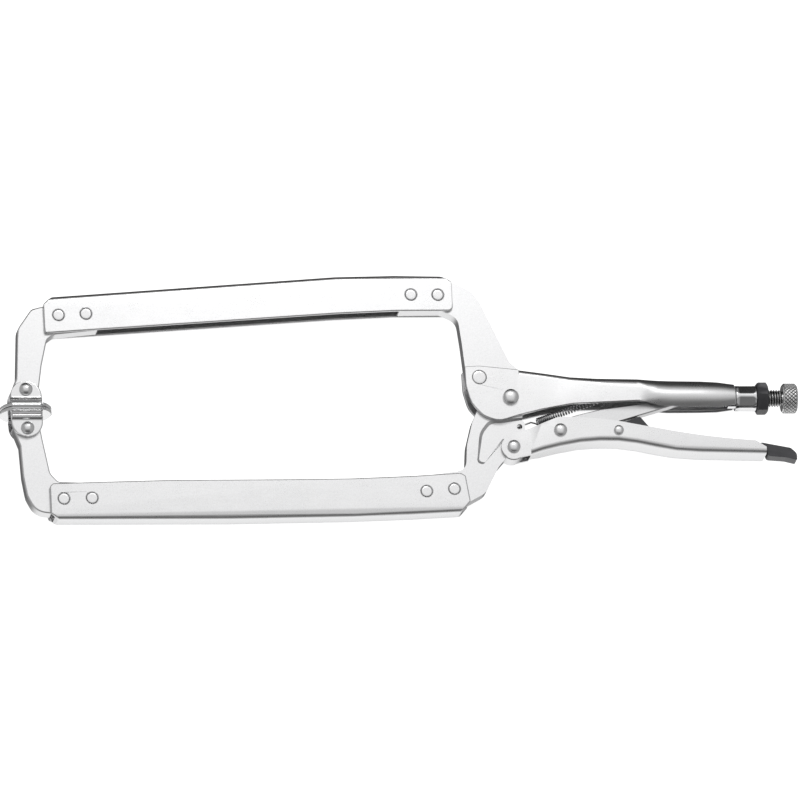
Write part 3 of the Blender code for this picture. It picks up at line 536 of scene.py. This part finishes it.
# The end face, then the small turning centre in its middle, down to the bore for the screw.
profile = [(0.15 * MM, face_r), (0.0, knob_r - 1.3 * MM), (0.0, 2.2 * MM)]
profile += [(0.5 * MM, 1.2 * MM), (2.4 * MM, 1.1 * MM), (3.2 * MM, KNOB_BORE_R)]
rings += [around(knob_high.x - depth, radius, KNOB_STEPS) for depth, radius in profile]
knob = tube_mesh("diamond_knob", rings, KNOB_NICKEL, close=True)
place("diamond_knob", knob, "knob", NICKEL, "knurled_knob")


# ---------------------------------------------------------------- jaw plates
# Four hooked plates are blanked from 9 mm steel: the two knuckles round the pivot and the two tips
# that carry the pads. The moving knuckle has a hollow coined into each face.

PLATE_NICKEL = nickel("plate_nickel", (0.77, 0.77, 0.775), 0.34, 1.3)
for plate in ("upper_knuckle", "lower_knuckle"):
    dress(plate, PLATE_NICKEL, edge=0.8, clamp=True)
for plate in ("upper_jaw_tip", "lower_jaw_tip"):
    dress(plate, PLATE_NICKEL, edge=0.8)


# ---------------------------------------------------------------- arms
# Each arm is a long strip of 2 mm steel folded into a channel that opens to the throat and holds
# the plates between its flanges. The rolling direction shows as very faint lines.

ARM_NICKEL = nickel("arm_nickel", (0.77, 0.77, 0.775), 0.3, 2.1, drawn=0.4)
for arm in ("upper_arm", "lower_arm"):
    dress(arm, ARM_NICKEL)


# ---------------------------------------------------------------- rivets
# The arms and the nose are held by rivets peened level with the sheet, which leaves a thin ring.
# What turns is held by rivets with round heads, so that the head can't pull into its hole.

RIVET_NICKEL = nickel("rivet_nickel", (0.8, 0.8, 0.805), 0.2, 3.7, satin=0.4)
RIVET_STEPS = 56
PEENED_OUT = 0.08 * MM
DOME_STEPS = 14
SEAT_GAP = 0.25 * MM


def turned(name, node, profile, body, finish):
    """A turned piece about Z through a node's middle, from (radius, height) pairs, as a mirror pair."""
    centre = middle(node)
    rings = []
    for radius, height in [(radius, -height) for radius, height in reversed(profile)] + profile:
        ring = []
        for step in range(RIVET_STEPS):
            angle = 2 * math.pi * step / RIVET_STEPS
            x, y = centre.x + radius * math.cos(angle), centre.y + radius * math.sin(angle)
            ring.append((x, y, centre.z + height))
        rings.append(ring)
    return place(name, tube_mesh(name, rings, finish), body, NICKEL, node)


def half_size(node):
    """A rivet's radius and half its length."""
    low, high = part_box(node)
    return (high.x - low.x) / 2, (high.z - low.z) / 2


def flush_rivet(node, body):
    """A shank whose end is spread level, with a slight crown and a rounded rim."""
    radius, half = half_size(node)
    radius += PEENED_OUT
    rim = ((0.0, 0.3), (0.06, 0.12), (0.25, 0.02))
    profile = [(radius - inset * MM, half - drop * MM) for inset, drop in rim]
    profile += [(radius * share, half) for share in (0.8, 0.5, 0.1)]
    turned(f"{node}_peened", node, profile, body, RIVET_NICKEL)


def domed_rivet(node, body, height, rim):
    """A shank with round heads. Each rim stands up by a share of the height, then curves over."""
    radius, half = half_size(node)
    seat, shank = half - height, 0.66 * radius
    profile = [(shank, seat - SEAT_GAP), (radius * 0.97, seat - SEAT_GAP)]
    profile.append((radius, seat + rim * height))
    for step in range(1, DOME_STEPS + 1):
        angle = math.pi / 2 * (0.06 + 0.93 * step / DOME_STEPS)
        rise = rim + (1 - rim) * math.sin(angle) ** 1.15
        profile.append((radius * math.cos(angle), seat + height * rise))
    turned(f"{node}_domed", node, profile, body, RIVET_NICKEL)


for number in range(1, 5):
    flush_rivet(f"upper_arm_rivet_{number}", "handle")
    flush_rivet(f"lower_arm_rivet_{number}", "moving_jaw")
flush_rivet("nose_rivet", "handle")
domed_rivet("jaw_pivot_rivet", "handle", 3.0 * MM, 0.42)
domed_rivet("lever_pivot_rivet", "moving_jaw", 2.2 * MM, 0.3)
domed_rivet("link_rivet", "lever", 2.2 * MM, 0.3)
domed_rivet("release_rivet", "lever", 1.6 * MM, 0.3)
domed_rivet("upper_pad_rivet", "handle", 2.8 * MM, 0.15)
domed_rivet("lower_pad_rivet", "moving_jaw", 2.8 * MM, 0.15)


# ---------------------------------------------------------------- swivel pads
# Each pad is stamped from 2 mm sheet: a round face with two ears folded up beside the jaw tip. A
# pressed rib runs across each ear next to the fold, so that the ear can't bend open.

PAD_SHEET = 2.0 * MM
EAR_HALF = 9.0 * MM
EAR_CREST = 7.4 * MM
EAR_Z = 4.8 * MM
EAR_ROUND = 0.35 * MM
LOBE_STEPS = 32
PAD_NICKEL = nickel("pad_nickel", (0.8, 0.8, 0.805), 0.17, 4.9, satin=0.4)
EAR_ROWS = 46
EAR_COLUMNS = 18


def bell(y, centre, width):
    return math.exp(-(((y - centre) / width) ** 2))


def ear_relief(y):
    """How far the ear stands out at a height over the face: the fold's bulge, then the rib."""
    waves = ((1.5, 1.3, 0.95), (-0.25, 3.1, 0.7), (1.15, 5.1, 0.85))
    return sum(height * bell(y, at * MM, width * MM) for height, at, width in waves) * MM


def ear_rings():
    """One ear, upright over the pad's face: rings of its outline, from the fold up to its crest."""
    rings = []
    for row in range(EAR_ROWS + 1):
        y = (EAR_CREST + EAR_HALF - 0.02 * MM) * row / EAR_ROWS
        over = max(0.0, y - EAR_CREST)
        reach = math.sqrt(EAR_HALF**2 - over**2)
        stand = ear_relief(y)
        outer, inner = [], []
        for column in range(EAR_COLUMNS + 1):
            x = -reach * math.cos(math.pi * column / EAR_COLUMNS)
            worn = EAR_ROUND * (1 - min(1.0, (reach - abs(x)) / (0.5 * MM))) ** 2
            outer.append((x, y, EAR_Z + PAD_SHEET + stand - worn))
            inner.append((x, y, EAR_Z + max(0.0, stand)))
        rings.append(outer + inner[::-1])
    return rings


def face_outline(pad_r):
    """The pad's face: a round lobe out at each end, with straight cuts where the ears fold up."""
    lobe = math.acos(EAR_HALF / pad_r)
    fold_z = EAR_Z + PAD_SHEET + 0.6 * MM
    outline = []
    for turn, end in ((0.0, 1), (math.pi, -1)):
        outline.append((end * EAR_HALF, -end * fold_z))
        for step in range(LOBE_STEPS + 1):
            angle = turn + lobe * (2 * step / LOBE_STEPS - 1)
            outline.append((pad_r * math.cos(angle), pad_r * math.sin(angle)))
        outline.append((end * EAR_HALF, end * fold_z))
    return outline


def swivel_pad(name, node, rivet, body, side):
    """The face and its two ears, joined into one piece. Side is +1 on a pad that faces down."""
    centre = middle(rivet)
    low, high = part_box(node)
    face_y = low.y if side > 0 else high.y
    pad_r = (high.x - low.x) / 2
    shapes = []
    for flip in (1, -1):
        ear = []
        for ring in ear_rings():
            turned_ring = [(x * side * flip, side * y, flip * z) for x, y, z in ring]
            ear.append([(centre.x + x, face_y + y, centre.z + z) for x, y, z in turned_ring])
        shapes.append(ear)
    disc = []
    for inset, y in ((0.4, 0.0), (0.0, 0.35), (0.0, 1.6), (0.4, 2.0)):
        shrink = 1 - inset * MM / pad_r
        height = face_y + side * y * MM
        outline = face_outline(pad_r)
        disc.append([(centre.x + x * shrink, height, centre.z + z * shrink) for x, z in outline])
    shapes.append(disc[::-1] if side > 0 else disc)
    parts = []
    for shape in shapes:
        mesh = tube_mesh(f"{name}_part", shape, PAD_NICKEL)
        parts.append(link_up(bpy.data.objects.new(mesh.name, mesh)))
    for extra in parts[:2]:
        union = parts[2].modifiers.new("union", "BOOLEAN")
        union.operation = "UNION"
        union.object = extra
    bpy.context.view_layer.update()
    evaluated = parts[2].evaluated_get(bpy.context.evaluated_depsgraph_get())
    whole = bpy.data.meshes.new_from_object(evaluated)
    whole.name = name
    for part in parts:
        bpy.data.objects.remove(part)
    whole.shade_smooth()
    whole.set_sharp_from_angle(angle=MADE_CREASE)
    return place(name, whole, body, NICKEL, node)


swivel_pad("upper_pad_stamped", "upper_pad", "upper_pad_rivet", "upper_swivel_pad", 1)
swivel_pad("lower_pad_stamped", "lower_pad", "lower_pad_rivet", "lower_swivel_pad", -1)


# ---------------------------------------------------------------- lever
# A second strip folded into a channel that opens towards the handle. Its two ears are stepped
# inwards in front, so that they run beside the moving plate.

LEVER_NICKEL = nickel("lever_nickel", (0.77, 0.77, 0.775), 0.3, 5.3, drawn=0.2)
dress("lever_handle", LEVER_NICKEL, clamp=True)


# ---------------------------------------------------------------- toggle link
# A solid steel strut between the lever and the screw's tip. The clamp locks when the lever pushes
# it just past the straight line.

LINK_NICKEL = nickel("link_nickel", (0.7, 0.7, 0.705), 0.32, 6.1)
dress("toggle_link", LINK_NICKEL, edge=0.5, clamp=True)


# ---------------------------------------------------------------- release lever
# A blacked pressing inside the lever. Squeezing its paddle lifts the hump against the link, which
# pushes the toggle back over the straight line.

TRIGGER_BLACK = blacked("trigger_black", 0.34, 0.9)
dress("release_lever", TRIGGER_BLACK, edge=0.7, clamp=True)


# ---------------------------------------------------------------- tension spring
# Close-wound spring wire with a hook bent from each end. It runs from the lug of the moving plate
# to a tab inside the handle body, and pulls the jaw open when the lever is released.

WIRE_R = 0.45 * MM
COIL_R = 2.2 * MM - WIRE_R
TURNS = 25
POINTS_A_TURN = 16
WIRE_SIDES = 8
HOOK_STEPS = 14
SPRING_NICKEL = nickel("spring_steel", (0.55, 0.55, 0.56), 0.3, 7.7)
hook = pivot + Vector((4.9, -16.4, 0.0)) * MM
anchor = pivot + Vector((61.0, 4.0, 0.0)) * MM
along = (anchor - hook).normalized()
across = Vector((-along.y, along.x, 0.0))
span = (anchor - hook).length
coil_start, coil_end = 11.5 * MM, span - 9.0 * MM


OVER = Vector((0, 0, 1))


def beside(start, points):
    """Points given in mm along the spring, across it and over it, from a start."""
    return [start + (along * a + across * b + OVER * c) * MM for a, b, c in points]


route = []
for step in range(HOOK_STEPS + 1):  # the front hook goes up through the lug's hole from behind
    angle = math.pi * (0.9 - 1.5 * step / HOOK_STEPS)
    bend = Vector((0.9 * MM * math.sin(angle), 0.2 * MM, -1.4 * MM * math.cos(angle)))
    route.append(hook + bend + along * 0.4 * MM)
front = [(3.0, 0.2, 2.6), (5.2, 0.3, 2.2), (7.6, 0.5, 1.4), (9.6, -0.6, 0.9), (10.8, -1.5, 0.3)]
route += beside(hook, front)
for step in range(TURNS * POINTS_A_TURN + 1):
    share = step / (TURNS * POINTS_A_TURN)
    stretch = 0.62 * share + 0.38 * share**2.2
    angle = math.pi + 2 * math.pi * TURNS * share
    centre = hook + along * (coil_start + (coil_end - coil_start) * stretch)
    route.append(centre + (across * math.cos(angle) + OVER * math.sin(angle)) * COIL_R)
back = [(-8.0, -1.2, 0.5), (-6.6, -0.5, 0.7), (-4.6, 0.0, 0.9), (-2.4, 0.0, 1.0), (-1.2, 0.0, 0.9)]
route += beside(anchor, back)

rings = []
side = OVER
for index, point in enumerate(route):
    ahead = (route[min(index + 1, len(route) - 1)] - route[max(index - 1, 0)]).normalized()
    side = (side - ahead * side.dot(ahead)).normalized()
    other = ahead.cross(side)
    ring = []
    for step in range(WIRE_SIDES):
        angle = 2 * math.pi * step / WIRE_SIDES
        ring.append(point + (side * math.cos(angle) + other * math.sin(angle)) * WIRE_R)
    rings.append(ring)
wire = tube_mesh("wound_spring", rings, SPRING_NICKEL)
spring = place("wound_spring", wire, None, NICKEL, "tension_spring")
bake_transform(spring)
